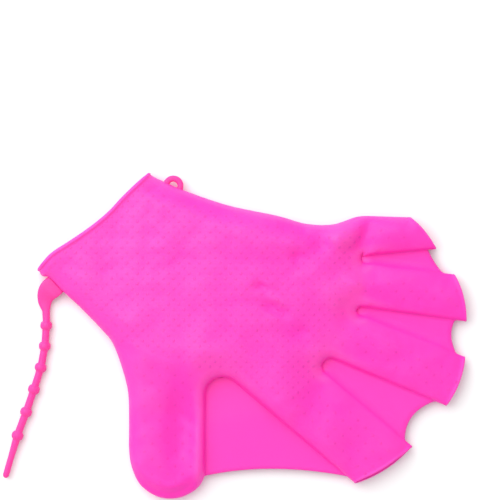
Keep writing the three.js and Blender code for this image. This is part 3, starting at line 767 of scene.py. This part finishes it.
# Rounded free edge of each web, between its upper and lower points
points = [tuple(point) for point in outer]
faces = list(outer_faces)
neighbours = {}
for a, b in hand_sides:
    neighbours.setdefault(a, []).append(b)
    neighbours.setdefault(b, []).append(a)
middle_of = {}
for node in {node for edge in web_edges for node in edge}:
    past = [other for other in neighbours.get(node, []) if merged[other]]
    if past:
        middle_of[node] = past[0]
        continue
    beside = [edge for edge in web_edges if node in edge]
    run = sum(nodes[b] - nodes[a] for a, b in beside)
    outward = -1j * run / abs(run)
    middle_of[node] = len(points)
    spot = nodes[node] + outward * half_web * web_edge_bulge
    points.append((spot.real, spot.imag, edge_height))
for a, b in web_edges:
    middle_a, middle_b = middle_of[a], middle_of[b]
    faces.append([b, a, middle_a, middle_b])
    faces.append([middle_b, middle_a, a + count, b + count])

# Inner skin, and a rolled rim between the two skins at each opening
inner_at = {}


def inner_point(i):
    if i not in inner_at:
        inner_at[i] = len(points)
        points.append(tuple(inner[i]))
    return inner_at[i]


for face in hand_faces:
    faces.append([inner_point(i) for i in reversed(face)])
    faces.append([inner_point(plain_under[i]) for i in face])

point_after = {b: a for a, b in outline_of(plain_faces)}


def opening_loop(edges):
    """Points of the outer skin round one opening, in order."""
    start = next(iter(edges))[0]
    loop = [start]
    while point_after[loop[-1]] != start:
        loop.append(point_after[loop[-1]])
    return loop


away_from = np.array([palm_heart.real, palm_heart.imag, palm_heart_height])
for edges in opening_sets:
    roll = cuff_roll if edges is cuff_edges else finger_roll
    loop = opening_loop(edges)
    outer_ring = np.array([points[i] for i in loop])
    inner_ring = np.array([points[inner_at[i]] for i in loop])
    ring_middle = (outer_ring + inner_ring) / 2
    tangent = np.roll(ring_middle, -1, axis=0) - np.roll(ring_middle, 1, axis=0)
    tangent /= np.linalg.norm(tangent, axis=1)[:, None]
    thick = outer_ring - inner_ring
    thick -= tangent * (thick * tangent).sum(axis=1)[:, None]
    thick /= np.linalg.norm(thick, axis=1)[:, None]
    for _ in range(roll_smoothing):
        thick = np.roll(thick, -1, axis=0) + 2 * thick + np.roll(thick, 1, axis=0)
        thick /= np.linalg.norm(thick, axis=1)[:, None]
    forward = np.cross(tangent, thick)
    if (forward * (ring_middle - away_from)).sum() < 0:
        forward = -forward
    middle = ring_middle + forward * roll["beyond"]
    middle[:, 2] = np.maximum(middle[:, 2], roll["radius"] + roll_floor_gap)
    rings = [loop]
    for angle in np.radians(roll_turns):
        ring = middle + roll["radius"] * (forward * np.cos(angle) + thick * np.sin(angle))
        rings.append(list(range(len(points), len(points) + len(loop))))
        points.extend(map(tuple, ring))
    rings.append([inner_at[i] for i in loop])
    for upper, lower in zip(rings, rings[1:]):
        for k in range(len(loop)):
            after = (k + 1) % len(loop)
            faces.append([upper[k], upper[after], lower[after], lower[k]])


def add_object(name, data):
    made = bpy.data.objects.new(name, data)
    bpy.context.scene.collection.objects.link(made)
    return made


def piece(name, points, faces, material, painted_shade_and_tone=()):
    """A mesh object of the glove, from points in millimetres on the plan. The first points may
    carry painted shade and tone, which the material shows a little deeper in colour, and painted
    highlight below zero."""
    metres = (np.array(points, float) - np.array([palm_centre, 0, 0])) / 1000
    used = sorted({i for face in faces for i in face})
    renumber = {old: new for new, old in enumerate(used)}
    mesh = bpy.data.meshes.new(name)
    mesh.from_pydata(metres[used].tolist(), [], [[renumber[i] for i in face] for face in faces])
    painted_shade_in = mesh.attributes.new("sunk_and_painted_shade", "FLOAT", "POINT")
    painted_shade_in.data.foreach_set("value", [painted_shade_and_tone[i] if i < len(painted_shade_and_tone) else 0.0 for i in used])
    mesh.validate()
    mesh.polygons.foreach_set("use_smooth", [True] * len(mesh.polygons))
    mesh.materials.append(material)
    made = add_object(name, mesh)
    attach(made, "root")
    return made


# Painted shade and highlight in the skin's colour, above zero where it is darker: pale webs and
# sides, painted highlight on the crests, and painted shade in the hollows and in the creases
# beside the webs
web_pale = -0.3
# Painted highlight on the crests beside the webs, per millimetre of crest height
crest_painted_highlight = 2.5
painted_shade_margin = 3.0
painted_crease_shades = [
    {"side": "hard", "wide": 0.7, "depth": 2.0},
    {"side": "soft", "wide": 1.0, "depth": 1.4},
]

# The fingers and the thumb are a little deeper in colour than the palm, the middle fingers most
tone_centre = 62.0
tone_start = 86.0
tone_fade = 10.0
tone_turn = 8.0
tone_spread = 22.0
tone_least = 0.8
tone_more = 1.0

# Painted highlight along the hand's outer side by the little finger
edge_painted_highlight = 2.6
edge_highlight_width = 2.8

# Silicone: where along the hand its deep colour sets in, in metres, and how far the place, the
# clouds and the painted shade bring it in
deep_start = -0.09
deep_finish = 0.0
place_share = 0.38
cloud_share = 0.2
painted_shade_share = 0.28
cloud_scale = 28.0
cloud_roughness = 0.08
least_roughness = 0.46
grain_scale = 900.0
grain_strength = 0.12
grain_height = 0.0002
silicone_ior = 1.42
scatter_weight = 0.25
scatter_radius = (1.0, 0.25, 0.55)
scatter_scale = 0.002

# Places of the colour sockets on a mix node, whose names repeat those for other data
mix_color_a = 6
mix_color_b = 7
mix_color_result = 2


class Wire:
    """A shader socket with arithmetic."""

    def __init__(self, tree, socket):
        self.tree, self.socket = tree, socket

    def math(self, operation, *values):
        node = self.tree.nodes.new("ShaderNodeMath")
        node.operation = operation
        for entry, value in zip(node.inputs, values):
            if isinstance(value, Wire):
                self.tree.links.new(value.socket, entry)
            else:
                entry.default_value = value
        return Wire(self.tree, node.outputs[0])

    def __add__(self, other):
        return self.math("ADD", self, other)

    def __mul__(self, other):
        return self.math("MULTIPLY", self, other)


def add_node(tree, kind, settings=None, inputs=None):
    """A node with its settings and inputs; an input may be a value or a wire."""
    node = tree.nodes.new(kind)
    for name, value in (settings or {}).items():
        setattr(node, name, value)
    for name, value in (inputs or {}).items():
        if isinstance(value, Wire):
            tree.links.new(value.socket, node.inputs[name])
        else:
            node.inputs[name].default_value = value
    return node


def silicone(name, color, deep_color):
    """Soft moulded silicone with a faint unevenness of colour and surface, darkened by the painted
    shade stored on the mesh.
    """
    material = bpy.data.materials.new(name)
    material.use_nodes = True
    tree = material.node_tree
    shader = tree.nodes["Principled BSDF"]
    place = Wire(tree, add_node(tree, "ShaderNodeTexCoord").outputs["Object"])
    clouds = add_node(tree, "ShaderNodeTexNoise", inputs={
        "Vector": place, "Scale": cloud_scale, "Detail": 3.0,
    })
    grain = add_node(tree, "ShaderNodeTexNoise", inputs={
        "Vector": place, "Scale": grain_scale, "Detail": 2.0,
    })
    cloud = Wire(tree, clouds.outputs["Fac"])
    apart = add_node(tree, "ShaderNodeSeparateXYZ", inputs={"Vector": place})
    reach = add_node(tree, "ShaderNodeMapRange", {"clamp": True}, {
        "Value": Wire(tree, apart.outputs["X"]), "From Min": deep_start, "From Max": deep_finish,
    })
    # Painted shade from the mesh's attribute deepens the colour; below zero it is a painted
    # highlight
    depth = add_node(tree, "ShaderNodeAttribute", {"attribute_name": "sunk_and_painted_shade"})
    by_place = Wire(tree, reach.outputs["Result"]) * place_share
    by_painted_shade = Wire(tree, depth.outputs["Fac"]) * painted_shade_share
    deep = by_place + cloud * cloud_share + by_painted_shade
    blend = add_node(tree, "ShaderNodeMix", {"data_type": "RGBA"}, {"Factor": deep})
    blend.inputs[mix_color_a].default_value = (*color, 1)
    blend.inputs[mix_color_b].default_value = (*deep_color, 1)
    tree.links.new(blend.outputs[mix_color_result], shader.inputs["Base Color"])
    rough = cloud * cloud_roughness + least_roughness
    tree.links.new(rough.socket, shader.inputs["Roughness"])
    bump = add_node(tree, "ShaderNodeBump", inputs={
        "Strength": grain_strength, "Distance": grain_height,
        "Height": Wire(tree, grain.outputs["Fac"]),
    })
    tree.links.new(bump.outputs["Normal"], shader.inputs["Normal"])
    shader.inputs["IOR"].default_value = silicone_ior
    shader.inputs["Subsurface Weight"].default_value = scatter_weight
    shader.inputs["Subsurface Radius"].default_value = scatter_radius
    shader.inputs["Subsurface Scale"].default_value = scatter_scale
    return material


glove_pink = silicone("glove silicone", (0.98, 0.061, 0.482), (0.98, 0.03, 0.463))
strap_pink = silicone("strap silicone", (0.94, 0.048, 0.35), (0.92, 0.036, 0.33))
dot_pink = silicone("grip dot silicone", (0.97, 0.057, 0.474), (0.93, 0.026, 0.45))

# Painted shade in the hollows and painted highlight on swells and crests, faded out near the sides
palm_painted_shade = (sunk_and_painted_shade - crest * crest_painted_highlight) * np.clip(nearest / painted_shade_margin, 0, 1)
painted_shade_and_tone = np.where(is_web | is_side, web_pale, palm_painted_shade)
# Painted shade in the creases beside the webs, darkest right at the crease
for shade in painted_crease_shades:
    painted_shade_and_tone += shade["depth"] * np.exp(-((inside[shade["side"]] / shade["wide"]) ** 2))
from_wrist = nodes - tone_centre
spread = np.degrees(np.angle(from_wrist)) - tone_turn
past_roots = smooth((np.abs(from_wrist) - tone_start) / tone_fade)
painted_shade_and_tone += past_roots * (tone_least + tone_more * np.exp(-((spread / tone_spread) ** 2)))
little_edges = [edge for edge in sides_of["outer"] if nodes[edge[0]].imag > 0]
painted_shade_and_tone -= edge_painted_highlight * np.exp(-((distance_to(nodes, little_edges) / edge_highlight_width) ** 2))
body = piece("glove_body", points, faces, glove_pink, painted_shade_and_tone.tolist())
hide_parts("hand_shell", "thumb_sleeve", "index_sleeve", "middle_sleeve", "ring_sleeve",
            "little_sleeve", "cuff_rim", "web_thumb_index", "web_index_middle", "web_middle_ring",
            "web_ring_little")

# Grip dots, raised on the palm side only, closer together on the palm than on thumb and fingers.
# Along and out say where their rows end, and the margin keeps them off the sides.
palm_dots = {"pitch": 4.0, "margin": 5.0, "along": 142, "out": -58}
outer_dots = {"pitch": 5.9, "margin": 7.5, "along": 144, "out": -61}
dot_turn = 63
dot_rows = 60
dot_radius = 0.0008
dot_rise = 0.00009
above_all = 60.0


def lattice(pitch):
    steps = np.arange(-dot_rows, dot_rows)
    spots = (steps[:, None] + 1j * steps[None, :]).ravel()
    return spots * pitch * heading(dot_turn) + palm_centre


skin_points = [Vector(point) for point in outer[:count]]
skin_tree = BVHTree.FromPolygons(skin_points, hand_faces)


def dots_on_skin(spots, margin):
    """Place, direction and the skin's painted shade of each dot that lands on the upper skin."""
    found = []
    down = Vector((0, 0, -1))
    for spot in spots[distance_to(spots, hand_sides) >= margin]:
        hit, normal, _, _ = skin_tree.ray_cast(Vector((spot.real, spot.imag, above_all)), down)
        if hit:
            found.append((hit, normal, painted_shade_and_tone[np.abs(nodes - spot).argmin()]))
    return found


spots = lattice(palm_dots["pitch"])
on_palm = (spots.real < palm_dots["along"]) & (spots.imag > palm_dots["out"])
dots = dots_on_skin(spots[on_palm], palm_dots["margin"])
spots = lattice(outer_dots["pitch"])
past_palm = (spots.real >= outer_dots["along"]) | (spots.imag <= outer_dots["out"])
dots += dots_on_skin(spots[past_palm], outer_dots["margin"])


def dot_group(material):
    """Puts a small dome on each point, turned along the stored direction."""
    tree = bpy.data.node_groups.new("grip dots", "GeometryNodeTree")
    add_socket = tree.interface.new_socket
    add_socket("Points", in_out="INPUT", socket_type="NodeSocketGeometry")
    sizes = {
        name: add_socket(name, in_out="INPUT", socket_type="NodeSocketFloat")
        for name in ("Radius", "Rise")
    }
    add_socket("Dots", in_out="OUTPUT", socket_type="NodeSocketGeometry")
    enter = add_node(tree, "NodeGroupInput")
    radius = Wire(tree, enter.outputs["Radius"])
    sphere = add_node(tree, "GeometryNodeMeshUVSphere", inputs={
        "Segments": dot_sides, "Rings": dot_rings, "Radius": 1.0,
    })
    facing = add_node(tree, "GeometryNodeInputNamedAttribute", {"data_type": "FLOAT_VECTOR"}, {
        "Name": "facing",
    })
    turn = add_node(tree, "FunctionNodeAlignRotationToVector", {"axis": "Z"}, {
        "Vector": Wire(tree, facing.outputs["Attribute"]),
    })
    size = add_node(tree, "ShaderNodeCombineXYZ", inputs={
        "X": radius, "Y": radius, "Z": Wire(tree, enter.outputs["Rise"]),
    })
    scatter = add_node(tree, "GeometryNodeInstanceOnPoints", inputs={
        "Points": Wire(tree, enter.outputs["Points"]),
        "Instance": Wire(tree, sphere.outputs["Mesh"]),
        "Rotation": Wire(tree, turn.outputs["Rotation"]),
        "Scale": Wire(tree, size.outputs["Vector"]),
    })
    realize = add_node(tree, "GeometryNodeRealizeInstances", inputs={
        "Geometry": Wire(tree, scatter.outputs["Instances"]),
    })
    shade = add_node(tree, "GeometryNodeSetShadeSmooth", inputs={
        "Geometry": Wire(tree, realize.outputs["Geometry"]),
    })
    paint = add_node(tree, "GeometryNodeSetMaterial", inputs={
        "Geometry": Wire(tree, shade.outputs["Geometry"]), "Material": material,
    })
    add_node(tree, "NodeGroupOutput", inputs={"Dots": Wire(tree, paint.outputs["Geometry"])})
    return tree, sizes


seeds = bpy.data.meshes.new("grip dot places")
seed_places = [((hit.x - palm_centre) / 1000, hit.y / 1000, hit.z / 1000) for hit, _, _ in dots]
seeds.from_pydata(seed_places, [], [])
facing = seeds.attributes.new("facing", "FLOAT_VECTOR", "POINT")
facing.data.foreach_set("vector", [value for _, normal, _ in dots for value in normal])
# Each dot carries the painted shade of the skin beneath it
painted_shade_at = seeds.attributes.new("sunk_and_painted_shade", "FLOAT", "POINT")
painted_shade_at.data.foreach_set("value", [depth for _, _, depth in dots])
carrier = add_object("grip_dots_places", seeds)
dot_tree, dot_sizes = dot_group(dot_pink)
modifier = carrier.modifiers.new("dots", "NODES")
modifier.node_group = dot_tree
modifier[dot_sizes["Radius"].identifier] = dot_radius
modifier[dot_sizes["Rise"].identifier] = dot_rise
graph = bpy.context.evaluated_depsgraph_get()
dot_mesh = bpy.data.meshes.new_from_object(carrier.evaluated_get(graph), depsgraph=graph)
bpy.data.objects.remove(carrier)
dot_mesh.name = "grip_dots"
grip_dots = add_object("grip_dots", dot_mesh)
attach(grip_dots, "root")

# Strap: its route past the tab's root, the tab's width along its length as a share from the
# neck's width to the tab's, and the widths of the tail back from its rounded end
strap_route = [
    (-12.0, -43.9), (-12.4, -49.4), (-9.6, -55.8), (-7.7, -61.7), (-4.9, -72.8),
    (-3.3, -85.0), (-3.1, -97.5), (-3.3, -110.6), (-3.8, -124.5), (-3.1, -149.1),
]
tab_widths = [
    (0, 1), (0.16, 1.06), (0.33, 1.0), (0.5, 0.8), (0.66, 0.56), (0.85, 0.26), (1, 0),
]
tail_widths = [
    {"back": 12, "width": 1}, {"back": 8, "width": 1}, {"back": 4, "width": 1},
    {"back": 1.6, "width": 1}, {"back": 0.8, "width": 0.86}, {"back": 0.3, "width": 0.6},
    {"back": 0.0, "width": 0.3},
]


def sweep(sections, sides):
    """Closed solid through sections, each with a centre, two axes, two sizes and a power that
    makes it fuller where it is below one."""
    turns = np.arange(sides) * 2 * np.pi / sides
    points, faces = [], []
    for section in sections:
        power = section["power"]
        wave_x = np.sign(np.cos(turns)) * np.abs(np.cos(turns)) ** power
        wave_y = np.sign(np.sin(turns)) * np.abs(np.sin(turns)) ** power
        ring = (
            section["centre"]
            + wave_x[:, None] * section["across"] * section["width"] / 2
            + wave_y[:, None] * section["up"] * section["thickness"] / 2
        )
        points.extend(map(tuple, ring))
    last = len(sections) - 1
    for ring in range(last):
        for side in range(sides):
            after = (side + 1) % sides
            a, b = ring * sides + side, (ring + 1) * sides + side
            c, d = (ring + 1) * sides + after, ring * sides + after
            faces.append([a, b, c, d])
    faces.append(list(range(sides)))
    faces.append([last * sides + side for side in reversed(range(sides))])
    return points, faces


def seat_on(boundary, distance, hand_on_left):
    """A place on a side of the hand, so far from the cuff, with its two directions."""
    line = Spline(boundary)
    place = line.by_length(distance / line.length)
    ahead = line.by_length((distance + 1) / line.length)
    direction = (ahead - place) / abs(ahead - place)
    outward = direction * (-1j if hand_on_left else 1j)
    return complex(place), complex(direction), complex(outward)


tab_spot, tab_direction, tab_outward = seat_on(boundaries[0], tab_place, True)
tab_start = tab_spot - tab_outward * root_depth
route = Spline([
    (tab_start.real, tab_start.imag, edge_height),
    (*strap_route[0], edge_height),
    *[(*spot, strap_height) for spot in strap_route[1:]],
])
up = np.array([0.0, 0.0, 1.0])


def strap_section(distance, width, thickness, power=1.0):
    share = min(max(distance / route.length, 0), 1)
    here = route.by_length(share)
    before = route.by_length(max(share - strap_look_ahead, 0))
    ahead = route.by_length(min(share + strap_look_ahead, 1)) - before
    across = np.array([-ahead[1], ahead[0], 0.0])
    across /= np.linalg.norm(across)
    return {"centre": here, "across": across, "up": up, "width": width,
            "thickness": thickness, "power": power}


tab_taper = Spline(tab_widths)
strap_sections = []
for share in even(tab_steps):
    along_tab, width_share = tab_taper.by_span(share)
    width = mix(neck_width, tab_width, width_share)
    strap_sections.append(strap_section(root_depth + along_tab * tab_length, width, tab_thickness,
                                        mix(1.0, tab_fullness, width_share)))
strap_sections[0]["across"] = np.array([tab_direction.real, tab_direction.imag, 0.0])
bead_reach = bead_length_share * bead_width / 2
first_bead = route.length - tail_length - (bead_count - 1) * bead_pitch
for bead in range(bead_count):
    growth = bead_pitch_growth * (bead - (bead_count - 1))
    bead_place = first_bead + bead * (bead_pitch + growth / 2)
    for step in np.linspace(-1, 1, bead_steps):
        width = max(link_width, bead_width * (1 - abs(step) ** bead_power) ** 0.5)
        strap_sections.append(strap_section(bead_place + step * bead_reach, width, width))
for row in tail_widths:
    width = tail_width * row["width"]
    strap_sections.append(strap_section(route.length - row["back"], width, width))
strap_points, strap_faces = sweep(strap_sections, strap_sides)
strap = piece("strap", strap_points, strap_faces, strap_pink)
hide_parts("wrist_strap")

# Loop: a half ring that stands on the side of the cuff and runs a little way into it
loop_spot, loop_direction, loop_outward = seat_on(boundaries[4], loop_place, False)
loop_radius = (loop_inner_width + loop_stock) / 2
loop_sections = []
for share in np.linspace(-loop_overrun, 1 + loop_overrun, loop_steps):
    angle = np.pi * np.clip(share, 0, 1)
    across = -loop_direction * np.cos(angle) + loop_outward * np.sin(angle)
    spot = loop_spot + across * loop_radius
    past = max(0 - share, share - 1, 0) / loop_overrun * root_depth
    spot -= loop_outward * past
    loop_sections.append({
        "centre": np.array([spot.real, spot.imag, edge_height]),
        "across": np.array([across.real, across.imag, 0.0]),
        "up": up, "width": loop_stock, "thickness": loop_stock, "power": loop_fullness,
    })
loop_points, loop_faces = sweep(loop_sections, loop_sides)
eyelet = piece("strap_eyelet", loop_points, loop_faces, strap_pink)
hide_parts("strap_loop")

# Outward faces on every swept or stitched piece
for made in (body, strap, eyelet):
    work = bmesh.new()
    work.from_mesh(made.data)
    bmesh.ops.recalc_face_normals(work, faces=work.faces)
    work.to_mesh(made.data)
    work.free()

# Floor
floor_half = 3.0
floor_look = {
    "Base Color": (0.93, 0.93, 0.93, 1), "Roughness": 0.9, "Specular IOR Level": 0.1,
}
floor_mesh = bpy.data.meshes.new("floor")
corner_signs = [(-1, -1), (1, -1), (1, 1), (-1, 1)]
floor_corners = [(x * floor_half, y * floor_half, 0.0) for x, y in corner_signs]
floor_mesh.from_pydata(floor_corners, [], [(0, 1, 2, 3)])
floor = add_object("floor", floor_mesh)
paper = bpy.data.materials.new("white floor")
paper.use_nodes = True
paper_shader = paper.node_tree.nodes["Principled BSDF"]
for name, value in floor_look.items():
    paper_shader.inputs[name].default_value = value
floor_mesh.materials.append(paper)

# Light: a bright even room with a broad soft light from the upper left of the picture
room_strength = 0.79
key_light = {"place": (-0.75, 0.42, 1.0), "aim": (0, 0, 0), "size": 1.5, "power": 17.0}
bpy.context.scene.view_settings.view_transform = "Standard"
world = bpy.data.worlds.new("room")
bpy.context.scene.world = world
world.use_nodes = True
world.node_tree.nodes["Background"].inputs["Color"].default_value = (1, 1, 1, 1)
world.node_tree.nodes["Background"].inputs["Strength"].default_value = room_strength


def soft_light(name, place, aim, size, power):
    data = bpy.data.lights.new(name, "AREA")
    data.shape = "SQUARE"
    data.size = size
    data.energy = power
    lamp = add_object(name, data)
    lamp.location = place
    lamp.rotation_mode = "QUATERNION"
    lamp.rotation_quaternion = (Vector(place) - Vector(aim)).to_track_quat("Z", "Y")


soft_light("key light", **key_light)

# Camera straight above the glove, turned as the picture is
picture_turn = math.radians(18)
view_height = 0.275
camera_place = (-0.00035, 0.0103, 1.3)
sensor_width = 36
view_end = 20
camera_data = bpy.data.cameras.new("camera")
camera_data.sensor_width = sensor_width
camera_data.lens = sensor_width * (camera_place[2] - edge_height / 1000) / view_height
camera_data.clip_end = view_end
camera = add_object("camera", camera_data)
camera.location = camera_place
camera.rotation_euler = (0, 0, picture_turn)
bpy.context.scene.camera = camera
